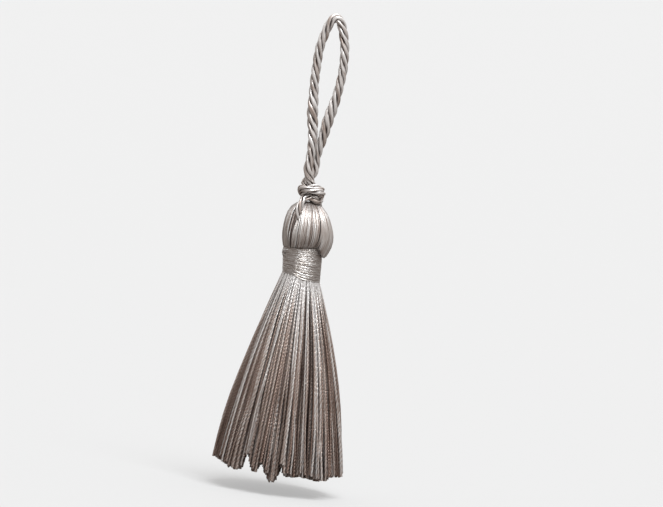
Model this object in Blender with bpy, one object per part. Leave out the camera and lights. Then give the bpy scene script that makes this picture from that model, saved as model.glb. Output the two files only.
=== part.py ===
"""Silk tassel on a twisted hanging loop.

A skein of silk is folded over the bight of a twisted cord, bound at the neck with thread
and cut level at the hem, so that it fans out as a skirt. The cord is knotted on top of the
head and runs up as a loop. The object hangs: the origin is the point inside the top of the
loop that a hook or a tie would bear on, and +Z is up. Sizes are in millimetres below, and
a "drop" is a distance down from the origin.
"""

import math
from collections import namedtuple

import bmesh
import bpy
from mathutils import Matrix, Vector, noise

MM = 0.001
CLEARANCE = 0.3  # gap between neighbouring pieces
WELD = 0.001  # points closer than this are one
SHARP_ANGLE = 50.0  # degrees between two faces, past which their edge stays sharp

# ---- cord ---------------------------------------------------------------------------
CORD_DIAMETER = 2.7
BIGHT_DIAMETER = 2.4  # the skein squeezes the cord there
CORD_STRANDS = 4
CORD_LAY = 12.4  # length of one full turn of the strands
CORD_VALLEY = 0.76  # radius between two strands, as a share of the cord's radius
CORD_STEP = 1.25  # distance between two sections of the cord
SIDES_A_STRAND = 3  # sides of the section for each strand
SPAN_STEPS = 16  # points worked out between two of a route's own
TUNNEL_ROUNDNESS = 2  # bevel resolution of the tunnel that the bight runs in

# The loop's centreline, from the left leg inside the knot, over the top, to the right leg.
RoutePoint = namedtuple("RoutePoint", "x y drop")
LOOP_ROUTE = [
    RoutePoint(-1.85, -0.4, 48.0),
    RoutePoint(-1.95, -0.8, 44.5),
    RoutePoint(-1.80, -0.8, 40.0),
    RoutePoint(-1.75, -0.6, 36.0),
    RoutePoint(-2.25, -0.3, 32.0),
    RoutePoint(-3.10, 0.0, 26.3),
    RoutePoint(-3.70, 0.2, 18.6),
    RoutePoint(-3.85, 0.3, 13.0),
    RoutePoint(-3.60, 0.2, 7.5),
    RoutePoint(-2.50, 0.1, 2.6),
    RoutePoint(-1.30, 0.0, -0.4),
    RoutePoint(0.00, 0.0, -CORD_DIAMETER / 2),
    RoutePoint(1.30, 0.0, -0.4),
    RoutePoint(2.50, -0.1, 2.8),
    RoutePoint(3.60, -0.2, 8.0),
    RoutePoint(3.75, -0.2, 14.0),
    RoutePoint(2.95, -0.1, 20.5),
    RoutePoint(1.70, 0.1, 26.3),
    RoutePoint(0.75, 0.5, 32.0),
    RoutePoint(0.10, 1.6, 36.0),
    RoutePoint(-0.40, 1.9, 40.0),
    RoutePoint(-0.60, 1.9, 44.5),
    RoutePoint(-0.50, 1.4, 48.0),
]

# The bight that carries the skein: half of it, outwards from the knot and back to the axis.
BightPoint = namedtuple("BightPoint", "out drop")
BIGHT_ANGLE = -34.0  # where its front leg lies, from the front towards the right
BIGHT_X = -0.55
BIGHT_ROUTE = [
    BightPoint(1.2, 48.3),
    BightPoint(2.7, 49.5),
    BightPoint(4.2, 51.0),
    BightPoint(5.3, 53.0),
    BightPoint(5.75, 55.3),
    BightPoint(5.2, 57.7),
    BightPoint(3.3, 59.4),
    BightPoint(0.0, 60.1),
]

KNOT_CENTRE = RoutePoint(0.1, 0.2, 48.35)
KNOT_SIZE = (7.3, 6.6, 5.2)  # across, deep, high
KNOT_BAND_SLOPE = 36.0  # degrees that its wound cords climb to the right
KNOT_BANDS = 2.4  # wound cords over its height
KNOT_VALLEY = 0.20  # depth between two of them, as a share of the radius
KNOT_DROOP = 0.10  # how much its right side hangs lower, for each millimetre
KNOT_SEGMENTS = 20
KNOT_RINGS = 14

# ---- skein --------------------------------------------------------------------------
STRANDS_ACROSS = 13  # the skirt's locks stand in a grid of this many each way
NECK_RADIUS = 4.75
NECK_TOP_X = -0.8  # the neck's axis leans a little to the right going down
NECK_FOOT_X = -0.15
ROOT_RADIUS = 5.45  # just below the binding, where the locks part
HEM_RADIUS = 19.0
CUT_LENGTH = 55.2  # of every lock, from the binding to its cut end
FAN_CURVE = 0.25  # how much the fan bends back to the plumb line
SKIRT_X = 0.0  # where the skirt's axis ends up
INSET = 0.01  # margin that parts a lock's root from its neighbours'
ROOT_WIDTH = 0.82  # lock's side at its root, as a share of its cell
RIM_HEIGHT = 0.25

LockSection = namedtuple("LockSection", "along width")
LOCK_SECTIONS = [  # along is the share of the cut length
    LockSection(0.10, 0.72),
    LockSection(0.34, 0.98),
    LockSection(0.66, 1.25),
    LockSection(1.00, 1.42),
]
LOCK_TURN = 20.0  # degrees that a lock turns about itself, at most
LOCK_STRAY = 0.36  # sideways stray of one lock at the hem
LOCK_UNEVEN = 0.8  # difference of one cut end from the next
DRIFT = 0.8  # sideways drift of neighbouring locks together
DRIFT_SCALE = 8.0
DRIFT_BEND = 1.5  # power by which the drift grows towards the hem
STRAY_SEED = Vector((0.37, 1.7, 4.1))  # where in the noise each thing is read
LENGTH_SEED = Vector((0.851, 3.91, 9.43))
TURN_SEED = Vector((0.61, 0.3, 9.2))
DRIFT_SEED = Vector((3.0, 5.0, 7.0))

HemChange = namedtuple("HemChange", "x half_width longer")
HEM_CHANGES = [
    HemChange(-15.5, 2.2, -1.3),
    HemChange(-8.4, 1.5, -3.6),
    HemChange(-4.1, 0.8, -2.4),
    HemChange(-0.9, 1.0, 2.0),
    HemChange(1.6, 0.8, -2.2),
    HemChange(12.5, 2.0, 0.9),
]

# Sections of the head and neck, from the binding's foot up to the crown. sag and bulge are
# the slack lobe's share: how far it hangs over the binding, and how far it stands out.
HeadRing = namedtuple("HeadRing", "drop x radius ridge lobes sag bulge")
HEAD_RINGS = [
    HeadRing(73.15, NECK_FOOT_X, 5.30, 0.00, 0.0, 0.0, 0.0),
    HeadRing(73.05, NECK_FOOT_X, NECK_RADIUS, 0.00, 0.0, 0.0, 0.0),
    HeadRing(63.35, NECK_TOP_X, NECK_RADIUS, 0.00, 0.0, 0.0, 0.0),
    HeadRing(63.15, -0.75, 5.60, 0.04, 0.0, 0.0, 0.45),
    HeadRing(63.05, -0.65, 5.90, 0.08, 0.2, 3.4, 0.75),
    HeadRing(62.70, -0.50, 6.20, 0.12, 0.3, 2.7, 1.30),
    HeadRing(61.60, -0.40, 6.60, 0.16, 0.5, 1.2, 1.25),
    HeadRing(60.00, -0.40, 6.75, 0.18, 0.7, 0.3, 0.95),
    HeadRing(58.20, -0.40, 6.75, 0.18, 0.9, 0.0, 0.60),
    HeadRing(56.30, -0.45, 6.45, 0.18, 1.0, 0.0, 0.30),
    HeadRing(54.50, -0.60, 5.85, 0.16, 1.0, 0.0, 0.0),
    HeadRing(53.00, -0.70, 5.00, 0.14, 1.0, 0.0, 0.0),
    HeadRing(51.90, -0.70, 3.80, 0.10, 0.9, 0.0, 0.0),
    HeadRing(51.30, -0.70, 2.50, 0.06, 0.6, 0.0, 0.0),
    HeadRing(51.15, -0.70, 1.30, 0.00, 0.2, 0.0, 0.0),
]
CROWN_DROP = 51.45
LEVEL_DROP = 58.0  # above this the head no longer follows the binding's slant

Groove = namedtuple("Groove", "angle width depth")
GROOVES = [  # between the lobes of the folded skein, from the front towards the right
    Groove(BIGHT_ANGLE, 15.0, 0.95),
    Groove(56.0, 9.0, 0.60),
    Groove(BIGHT_ANGLE + 180.0, 15.0, 0.95),
    Groove(-122.0, 10.0, 0.55),
]
SLACK_ANGLE = 98.0  # the middle of the lobe that hangs slack
SLACK_WIDTH = 34.0

# ---- binding ------------------------------------------------------------------------
WRAP_TOP = 63.65
WRAP_FOOT = 72.75
WRAP_TOP_TILT = -0.13  # drop gained for each millimetre to the right
WRAP_FOOT_TILT = 0.16
WRAP_TURNS = 12
WRAP_TOP_RADIUS = 5.62
WRAP_FOOT_RADIUS = 5.48
WRAP_VALLEY = 0.16
WRAP_SIDES = 32
TIE_OFF_ANGLE = -62.0  # the small lump where the thread is tucked in
TIE_OFF_WIDTH = 13.0
TIE_OFF_DROP = 65.3
TIE_OFF_HEIGHT = 1.3
TIE_OFF_RAISE = 0.45


def clear_scene():
    for obj in list(bpy.data.objects):
        bpy.data.objects.remove(obj, do_unlink=True)


def collection_named(name):
    made = bpy.data.collections.new(name)
    bpy.context.scene.collection.children.link(made)
    return made


def material_named(name, colour, roughness):
    made = bpy.data.materials.new(name)
    made.use_nodes = True
    shader = made.node_tree.nodes["Principled BSDF"]
    shader.inputs["Base Color"].default_value = (*colour, 1.0)
    shader.inputs["Roughness"].default_value = roughness
    shader.inputs["Metallic"].default_value = 0.0
    return made


def object_from(bm, name, collection, material=None):
    mesh = bpy.data.meshes.new(name)
    bm.to_mesh(mesh)
    bm.free()
    mesh.transform(Matrix.Scale(MM, 4))
    mesh.shade_smooth()
    mesh.set_sharp_from_angle(angle=math.radians(SHARP_ANGLE))
    obj = bpy.data.objects.new(name, mesh)
    collection.objects.link(obj)
    if material:
        mesh.materials.append(material)
    return obj


def make_guide(obj):
    obj.hide_render = True
    obj.display_type = "WIRE"


def add_boolean(obj, other, operation):
    modifier = obj.modifiers.new(f"{operation.lower()} {other.name}", "BOOLEAN")
    modifier.operation = operation
    modifier.object = other
    modifier.solver = "EXACT"


def mix(a, b, share):
    return a + (b - a) * share


def bump_at(value, centre, half_width):
    """A smooth rise from 0 to 1 and back round the centre."""
    return math.exp(-(((value - centre) / half_width) ** 2))


def angle_between(a, b):
    """Degrees from b to a, from -180 to 180."""
    return (a - b + 180.0) % 360.0 - 180.0


def around(angle, radius):
    """The offset at this angle, in degrees from the front towards the right."""
    turned = math.radians(angle)
    return Vector((radius * math.sin(turned), -radius * math.cos(turned)))


def tilt_at(drop):
    """How much lower the binding lies for each millimetre to the right, at this drop."""
    share = (drop - WRAP_TOP) / (WRAP_FOOT - WRAP_TOP)
    return mix(WRAP_TOP_TILT, WRAP_FOOT_TILT, min(1.0, max(0.0, share)))


def neck_x(drop):
    share = (drop - WRAP_TOP) / (WRAP_FOOT - WRAP_TOP)
    return mix(NECK_TOP_X, NECK_FOOT_X, min(1.0, max(0.0, share)))


def place(x, y, drop, tilt=0.0):
    return Vector((x, y, -(drop + tilt * (x - neck_x(drop)))))


# ---- cord ---------------------------------------------------------------------------
def smooth_route(points, step):
    """Points about a step apart on a Catmull-Rom curve through the given ones."""
    dense = []
    for i in range(len(points) - 1):
        before = points[max(i - 1, 0)]
        start, end = points[i], points[i + 1]
        after = points[min(i + 2, len(points) - 1)]
        for k in range(SPAN_STEPS):
            t = k / SPAN_STEPS
            dense.append(
                0.5
                * (
                    2 * start
                    + (end - before) * t
                    + (2 * before - 5 * start + 4 * end - after) * t**2
                    + (3 * start - before - 3 * end + after) * t**3
                )
            )
    dense.append(points[-1])
    lengths = [0.0]
    for a, b in zip(dense, dense[1:]):
        lengths.append(lengths[-1] + (b - a).length)
    count = max(2, round(lengths[-1] / step))
    route, at = [], 0
    for k in range(count + 1):
        wanted = lengths[-1] * k / count
        while at < len(dense) - 2 and lengths[at + 1] < wanted:
            at += 1
        span = lengths[at + 1] - lengths[at]
        route.append(dense[at].lerp(dense[at + 1], (wanted - lengths[at]) / span))
    return route


def strand_profile(collection):
    """The cord's section: one round lobe for each strand, with a valley between."""
    curve = bpy.data.curves.new("cord_section", "CURVE")
    curve.dimensions = "2D"
    curve.fill_mode = "NONE"
    spline = curve.splines.new("POLY")
    sides = CORD_STRANDS * SIDES_A_STRAND
    spline.points.add(sides - 1)
    for i, point in enumerate(spline.points):
        share = CORD_VALLEY if i % SIDES_A_STRAND == 0 else 1.0
        radius = share * CORD_DIAMETER / 2 * MM
        turned = 2 * math.pi * i / sides
        point.co = (radius * math.cos(turned), radius * math.sin(turned), 0.0, 1.0)
    spline.use_cyclic_u = True
    obj = bpy.data.objects.new("cord_section", curve)
    collection.objects.link(obj)
    make_guide(obj)
    return obj


def curve_along(name, route, collection):
    curve = bpy.data.curves.new(name, "CURVE")
    curve.dimensions = "3D"
    curve.use_fill_caps = True
    spline = curve.splines.new("POLY")
    spline.points.add(len(route) - 1)
    for point, place_of in zip(spline.points, route):
        point.co = (*(place_of * MM), 1.0)
    obj = bpy.data.objects.new(name, curve)
    collection.objects.link(obj)
    return obj


def as_mesh(obj, collection, material=None):
    """The curve's own mesh with its caps welded, in place of the curve."""
    name, placed = obj.name, obj.matrix_world.copy()
    graph = bpy.context.evaluated_depsgraph_get()
    mesh = bpy.data.meshes.new_from_object(obj.evaluated_get(graph))
    bpy.data.objects.remove(obj, do_unlink=True)
    bm = bmesh.new()
    bm.from_mesh(mesh)
    bmesh.ops.remove_doubles(bm, verts=bm.verts, dist=WELD * MM)
    bmesh.ops.recalc_face_normals(bm, faces=bm.faces)
    bm.to_mesh(mesh)
    bm.free()
    mesh.shade_smooth()
    made = bpy.data.objects.new(name, mesh)
    made.matrix_world = placed
    collection.objects.link(made)
    if material:
        mesh.materials.clear()
        mesh.materials.append(material)
    return made


def twisted_cord(name, route, diameter, section, collection, material=None):
    """A cord along the route, whose section turns with the lay, to the right going down."""
    obj = curve_along(name, route, collection)
    obj.data.bevel_mode = "OBJECT"
    obj.data.bevel_object = section
    obj.data.twist_mode = "MINIMUM"
    run = 0.0
    points = obj.data.splines[0].points
    for i, point in enumerate(points):
        if i:
            run += (route[i] - route[i - 1]).length
        point.tilt = -2 * math.pi * run / CORD_LAY
        point.radius = diameter / CORD_DIAMETER
    return as_mesh(obj, collection, material)


def plain_tube(name, route, radius, collection):
    obj = curve_along(name, route, collection)
    obj.data.bevel_depth = radius * MM
    obj.data.bevel_resolution = TUNNEL_ROUNDNESS
    return as_mesh(obj, collection)


def loop_points():
    return [place(p.x, p.y, p.drop) for p in LOOP_ROUTE]


def bight_points():
    """Both halves of the bight: down the front groove, through the head and up behind."""
    front = [(p.out, p.drop) for p in BIGHT_ROUTE]
    behind = [(-out, drop) for out, drop in reversed(front[:-1])]
    points = []
    for out, drop in front + behind:
        offset = around(BIGHT_ANGLE, out)
        points.append(place(BIGHT_X + offset.x, offset.y, drop))
    return points


def build_knot(collection):
    """The overhand knot: a lump whose wound cords climb to the right in ridges."""
    bm = bmesh.new()
    bmesh.ops.create_uvsphere(bm, u_segments=KNOT_SEGMENTS, v_segments=KNOT_RINGS, radius=1.0)
    slope = math.radians(KNOT_BAND_SLOPE)
    for vert in bm.verts:
        way = vert.co.normalized()
        across = way.z * math.cos(slope) - way.x * math.sin(slope)
        valley = abs(math.cos(math.pi * KNOT_BANDS * across / 2)) ** 4
        radius = 1.0 - KNOT_VALLEY * valley
        vert.co = Vector([radius * way[k] * KNOT_SIZE[k] / 2 for k in range(3)])
        vert.co.z -= KNOT_DROOP * vert.co.x
        vert.co += place(KNOT_CENTRE.x, KNOT_CENTRE.y, KNOT_CENTRE.drop)
    return object_from(bm, "knot", collection)


def build_cord_loop(parts, cutters, material):
    section = strand_profile(cutters)
    loop_route = smooth_route(loop_points(), CORD_STEP)
    loop = twisted_cord("cord_loop", loop_route, CORD_DIAMETER, section, parts, material)
    bight_route = smooth_route(bight_points(), CORD_STEP)
    bight = twisted_cord("bight", bight_route, BIGHT_DIAMETER, section, cutters)
    knot = build_knot(cutters)
    for guide in (knot, bight):
        make_guide(guide)
        add_boolean(loop, guide, "UNION")


# ---- skein --------------------------------------------------------------------------
def on_disc(u, v):
    """The square's point laid onto the unit disc, with every cell keeping its area."""
    if abs(u) > abs(v):
        radius, turned = u, math.pi / 4 * v / u
    elif v:
        radius, turned = v, math.pi / 2 - math.pi / 4 * u / v
    else:
        radius, turned = 0.0, 0.0
    return Vector((radius * math.cos(turned), radius * math.sin(turned)))


def groove_depth(angle):
    return sum(g.depth * bump_at(angle_between(angle, g.angle), 0.0, g.width) for g in GROOVES)


def ring_point(ring, angle, raised):
    """A point of a head ring. Raised ones are the crests of the yarns, and the rest lie between."""
    slack = bump_at(angle_between(angle, SLACK_ANGLE), 0.0, SLACK_WIDTH)
    radius = ring.radius - ring.lobes * groove_depth(angle) + ring.bulge * slack
    radius += ring.ridge if raised else -ring.ridge
    offset = around(angle, radius)
    fade = min(1.0, max(0.0, (ring.drop - LEVEL_DROP) / (WRAP_TOP - LEVEL_DROP)))
    drop = ring.drop + ring.sag * slack
    return place(ring.x + offset.x, offset.y, drop, fade * tilt_at(ring.drop))


def add_head(bm, edges, angles, crests):
    """Extrudes the grid's rim up the neck and over the head, and closes the crown."""
    ring_verts = []
    for ring in HEAD_RINGS:
        made = bmesh.ops.extrude_edge_only(bm, edges=edges)["geom"]
        ring_verts = [v for v in made if isinstance(v, bmesh.types.BMVert)]
        edges = [e for e in made if isinstance(e, bmesh.types.BMEdge)]
        for vert in ring_verts:
            vert.co = ring_point(ring, vert[angles], vert[crests] == 1)
    crown = place(HEAD_RINGS[-1].x, 0.0, CROWN_DROP)
    bmesh.ops.pointmerge(bm, verts=ring_verts, merge_co=crown)


def fan_radius(along):
    """The skirt's radius at this share of the cut length."""
    opened = (1 + FAN_CURVE) * along - FAN_CURVE * along**2
    return mix(ROOT_RADIUS, HEM_RADIUS, opened)


def hem_change(x):
    return sum(c.longer * bump_at(x, c.x, c.half_width) for c in HEM_CHANGES)


def own_seed(seed, number):
    """Each lock's own place in the noise, a step along X from the one before."""
    return Vector((seed.x * number, seed.y, seed.z))


def lock_point(root, number, along):
    """The middle of a lock at this share of its length. root is its place on the unit disc."""
    radius = fan_radius(along)
    stray = noise.noise_vector(own_seed(STRAY_SEED, number)) * (LOCK_STRAY * along)
    spread = Vector((root.x * HEM_RADIUS, root.y * HEM_RADIUS, 0.0)) / DRIFT_SCALE
    drift = noise.noise_vector(spread + DRIFT_SEED) * (DRIFT * along**DRIFT_BEND)
    x = NECK_FOOT_X + root.x * radius + stray.x + drift.x + (SKIRT_X - NECK_FOOT_X) * along
    y = root.y * radius + stray.y + drift.y
    length = CUT_LENGTH + LOCK_UNEVEN * noise.noise(own_seed(LENGTH_SEED, number))
    outwards = root.length * (HEM_RADIUS - ROOT_RADIUS)
    fall = math.sqrt(length**2 - outwards**2)
    fall += hem_change(NECK_FOOT_X + root.x * HEM_RADIUS) * along
    tilt = WRAP_FOOT_TILT * (1 - along) ** 2
    return place(x, y, WRAP_FOOT + CLEARANCE + RIM_HEIGHT + fall * along, tilt)


def corner_phase(face):
    """The angle of the square that lies best on this cell, whose corners run clockwise."""
    middle = face.calc_center_median()
    total = Vector((0.0, 0.0))
    for number, vert in enumerate(face.verts):
        corner = vert.co - middle
        angle = math.atan2(corner.y, corner.x) + number * math.pi / 2
        total += Vector((math.cos(angle), math.sin(angle)))
    return math.atan2(total.y, total.x)


def add_locks(bm, faces, strand):
    """Draws each cell of the grid down into a four-sided lock."""
    roots = {}
    for number, face in enumerate(faces):
        face[strand] = number
        middle = face.calc_center_median()
        roots[number] = Vector(((middle.x - NECK_FOOT_X) / ROOT_RADIUS, middle.y / ROOT_RADIUS))
    bmesh.ops.inset_individual(bm, faces=faces, thickness=INSET, depth=0.0)
    for face in faces:
        middle = face.calc_center_median()
        for vert in face.verts:
            vert.co = middle + (vert.co - middle) * ROOT_WIDTH
    phases = {face[strand]: corner_phase(face) for face in faces}
    for section in LOCK_SECTIONS:
        faces = bmesh.ops.extrude_discrete_faces(bm, faces=faces)["faces"]
        for face in faces:
            number = face[strand]
            middle = lock_point(roots[number], number, section.along)
            turn = math.radians(LOCK_TURN) * noise.noise(own_seed(TURN_SEED, number))
            reach = section.width / math.sqrt(2)
            for corner, vert in enumerate(face.verts):
                angle = phases[number] + turn * section.along - corner * math.pi / 2
                side = Vector((reach * math.cos(angle), reach * math.sin(angle), 0.0))
                vert.co = middle + side


def build_skein(parts, cutters, material):
    bm = bmesh.new()
    angles = bm.verts.layers.float.new("angle")
    crests = bm.verts.layers.int.new("crest")
    strand = bm.faces.layers.int.new("strand")
    bmesh.ops.create_grid(bm, x_segments=STRANDS_ACROSS, y_segments=STRANDS_ACROSS, size=1.0)
    bmesh.ops.reverse_faces(bm, faces=bm.faces)
    for vert in bm.verts:
        spot = on_disc(vert.co.x, vert.co.y) * ROOT_RADIUS
        drop = WRAP_FOOT + CLEARANCE + RIM_HEIGHT
        vert.co = place(NECK_FOOT_X + spot.x, spot.y, drop, WRAP_FOOT_TILT)
    cells = list(bm.faces)
    rim = [e for e in bm.edges if e.is_boundary]
    rim_verts = sorted(
        {v for e in rim for v in e.verts},
        key=lambda v: math.atan2(v.co.x - NECK_FOOT_X, -v.co.y),
    )
    for index, vert in enumerate(rim_verts):
        vert[angles] = math.degrees(math.atan2(vert.co.x - NECK_FOOT_X, -vert.co.y))
        vert[crests] = index % 2
    add_head(bm, rim, angles, crests)
    add_locks(bm, cells, strand)
    bmesh.ops.triangulate(bm, faces=[f for f in bm.faces if len(f.verts) > 4])
    skein = object_from(bm, "skein", parts, material)
    tunnel = plain_tube(
        "bight_tunnel",
        smooth_route(bight_points(), CORD_STEP),
        BIGHT_DIAMETER / 2 + CLEARANCE,
        cutters,
    )
    make_guide(tunnel)
    add_boolean(skein, tunnel, "DIFFERENCE")


# ---- binding ------------------------------------------------------------------------
def wrap_point(angle, drop, valley, inner):
    """A point of the binding. Its inner wall is plain, and its turns show outside."""
    if inner:
        radius = NECK_RADIUS + CLEARANCE
    else:
        share = (drop - WRAP_TOP) / (WRAP_FOOT - WRAP_TOP)
        radius = mix(WRAP_TOP_RADIUS, WRAP_FOOT_RADIUS, share)
        radius -= WRAP_VALLEY if valley else 0.0
        radius += (
            TIE_OFF_RAISE
            * bump_at(angle_between(angle, TIE_OFF_ANGLE), 0.0, TIE_OFF_WIDTH)
            * bump_at(drop, TIE_OFF_DROP, TIE_OFF_HEIGHT)
        )
    offset = around(angle, radius)
    return place(neck_x(drop) + offset.x, offset.y, drop, tilt_at(drop))


def build_neck_wrap(parts, material):
    """A sleeve of close turns, lofted up its outside, over the top and down the inside."""
    bm = bmesh.new()
    rows = []
    for step in range(2 * WRAP_TURNS + 1):
        drop = mix(WRAP_FOOT, WRAP_TOP, step / (2 * WRAP_TURNS))
        rows.append((drop, step % 2 == 0, False))
    rows.append((WRAP_TOP, False, True))
    rows.append((WRAP_FOOT, False, True))
    angles = bm.verts.layers.float.new("angle")
    circle = bmesh.ops.create_circle(bm, segments=WRAP_SIDES, radius=1.0)["verts"]
    for vert in circle:
        vert[angles] = math.degrees(math.atan2(vert.co.x, -vert.co.y))
        vert.co = wrap_point(vert[angles], *rows[0])
    rings = [list(bm.edges)]
    for row in rows[1:]:
        made = bmesh.ops.extrude_edge_only(bm, edges=rings[-1])["geom"]
        rings.append([e for e in made if isinstance(e, bmesh.types.BMEdge)])
        for vert in (v for v in made if isinstance(v, bmesh.types.BMVert)):
            vert.co = wrap_point(vert[angles], *row)
    bmesh.ops.bridge_loops(bm, edges=rings[0] + rings[-1])
    bmesh.ops.recalc_face_normals(bm, faces=bm.faces)
    return object_from(bm, "neck_wrap", parts, material)


def main():
    clear_scene()
    parts = collection_named("silk_tassel")
    cutters = collection_named("cutters")
    build_skein(parts, cutters, material_named("skein_silk", (0.47, 0.43, 0.40), 0.38))
    build_cord_loop(parts, cutters, material_named("cord_silk", (0.55, 0.52, 0.50), 0.40))
    build_neck_wrap(parts, material_named("binding_silk", (0.50, 0.46, 0.42), 0.35))


main()
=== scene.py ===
import math

import bpy
import numpy as np
from mathutils import Matrix, Vector, noise
from mathutils.kdtree import KDTree


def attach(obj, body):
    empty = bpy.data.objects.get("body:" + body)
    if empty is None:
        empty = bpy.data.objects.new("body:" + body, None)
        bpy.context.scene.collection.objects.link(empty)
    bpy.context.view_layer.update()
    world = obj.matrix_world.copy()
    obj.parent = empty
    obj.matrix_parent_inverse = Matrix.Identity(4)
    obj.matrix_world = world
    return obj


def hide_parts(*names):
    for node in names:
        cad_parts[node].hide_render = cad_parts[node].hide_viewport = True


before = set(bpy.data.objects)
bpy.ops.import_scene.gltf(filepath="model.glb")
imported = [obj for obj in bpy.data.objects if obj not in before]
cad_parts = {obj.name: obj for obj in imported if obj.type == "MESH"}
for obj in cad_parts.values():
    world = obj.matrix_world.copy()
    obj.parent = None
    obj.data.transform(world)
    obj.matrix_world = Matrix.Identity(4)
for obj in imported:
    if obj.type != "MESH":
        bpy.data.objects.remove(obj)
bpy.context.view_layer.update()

mm = 0.001
goldenAngle = math.pi * (3 - math.sqrt(5))
yarnSmoothBelow = 80  # degrees between faces, so that only the cut ends are sharp
strandSmoothBelow = 60
weldDistance = 1e-6
capSize = 0.2  # of a cut end in the UV map

# sizes, in millimetres
# A drop is a distance down from the inside of the loop's top.
neck = {
    "topX": -0.8,
    "footX": -0.15,
    "top": 63.65,  # drop of the binding's upper edge
    "foot": 72.75,
    "topTilt": -0.13,  # drop gained for each millimetre to the right
    "footTilt": 0.06,
    "footStep": 1.25,  # further drop between the two places below
    "stepFrom": -3.7,
    "stepTo": 0.9,
}


def mixed(a, b, share):
    return a + (b - a) * share


def eased(share):
    share = np.clip(share, 0.0, 1.0)
    return share * share * (3 - 2 * share)


def bump(value, centre, halfWidth):
    return np.exp(-(((value - centre) / halfWidth) ** 2))


def downNeck(drop):
    return np.clip((drop - neck["top"]) / (neck["foot"] - neck["top"]), 0.0, 1.0)


def neckX(drop):
    return mixed(neck["topX"], neck["footX"], downNeck(drop))


# how much lower the binding lies here than at the neck's middle
def slant(x, drop):
    share = downNeck(drop)
    tilt = mixed(neck["topTilt"], neck["footTilt"], share)
    step = eased((x - neck["stepFrom"]) / (neck["stepTo"] - neck["stepFrom"])) - 0.5
    return tilt * (x - neckX(drop)) + neck["footStep"] * share**2 * step


# degrees from the front, towards the right, to x and y
def around(angle, radius):
    turned = np.radians(angle)
    return radius * np.sin(turned), -radius * np.cos(turned)


def angleBetween(a, b):
    return (a - b + 180.0) % 360.0 - 180.0


# shaders
class Wire:
    # one socket of a shader, on which sums are written as in Python
    def __init__(self, paint, socket):
        self.paint = paint
        self.socket = socket

    def sum(self, operation, first, second=0.0):
        return self.paint.node("Math", {"operation": operation}, {0: first, 1: second})

    def __add__(self, other):
        return self.sum("ADD", self, other)

    def __sub__(self, other):
        return self.sum("SUBTRACT", self, other)

    def __mul__(self, other):
        return self.sum("MULTIPLY", self, other)

    def __truediv__(self, other):
        return self.sum("DIVIDE", self, other)

    def __pow__(self, other):
        return self.sum("POWER", self, other)

    def __rpow__(self, other):
        return self.sum("POWER", other, self)

    def sine(self):
        return self.sum("SINE", self)

    def size(self):
        return self.sum("ABSOLUTE", self)


class Paint:
    # a material and the nodes that are added to it
    def __init__(self, name):
        self.material = bpy.data.materials.new(name)
        self.material.use_nodes = True
        self.tree = self.material.node_tree
        self.shader = self.tree.nodes["Principled BSDF"]

    def node(self, kind, settings=None, inputs=None, output=0):
        made = self.tree.nodes.new("ShaderNode" + kind)
        for key, value in (settings or {}).items():
            if key == "stops":
                ramp = made.color_ramp
                while len(ramp.elements) < len(value):
                    ramp.elements.new(0.5)
                for element, (place, colour) in zip(ramp.elements, value):
                    element.position = place
                    element.color = (*colour, 1.0)
            else:
                setattr(made, key, value)
        for key, value in (inputs or {}).items():
            self.join(value, made.inputs[key])
        return Wire(self, made.outputs[output])

    def join(self, value, socket):
        if isinstance(value, Wire):
            self.tree.links.new(value.socket, socket)
        elif socket.type == "RGBA":
            socket.default_value = (*value, 1.0)
        else:
            socket.default_value = value

    def set(self, **values):
        for key, value in values.items():
            self.join(value, self.shader.inputs[key.replace("_", " ")])

    def vector(self, x, y, z):
        return self.node("CombineXYZ", None, {0: x, 1: y, 2: z})

    def noise(self, place, scale=1.0, detail=1.0, roughness=0.5, dimensions="3D"):
        inputs = {"Vector": place, "Scale": scale, "Detail": detail, "Roughness": roughness}
        return self.node("TexNoise", {"noise_dimensions": dimensions}, inputs)

    def mixColour(self, share, first, second):
        made = self.tree.nodes.new("ShaderNodeMix")
        made.data_type = "RGBA"
        self.join(share, made.inputs["Factor"])
        self.join(first, made.inputs[6])
        self.join(second, made.inputs[7])
        return Wire(self, made.outputs[2])


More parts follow.
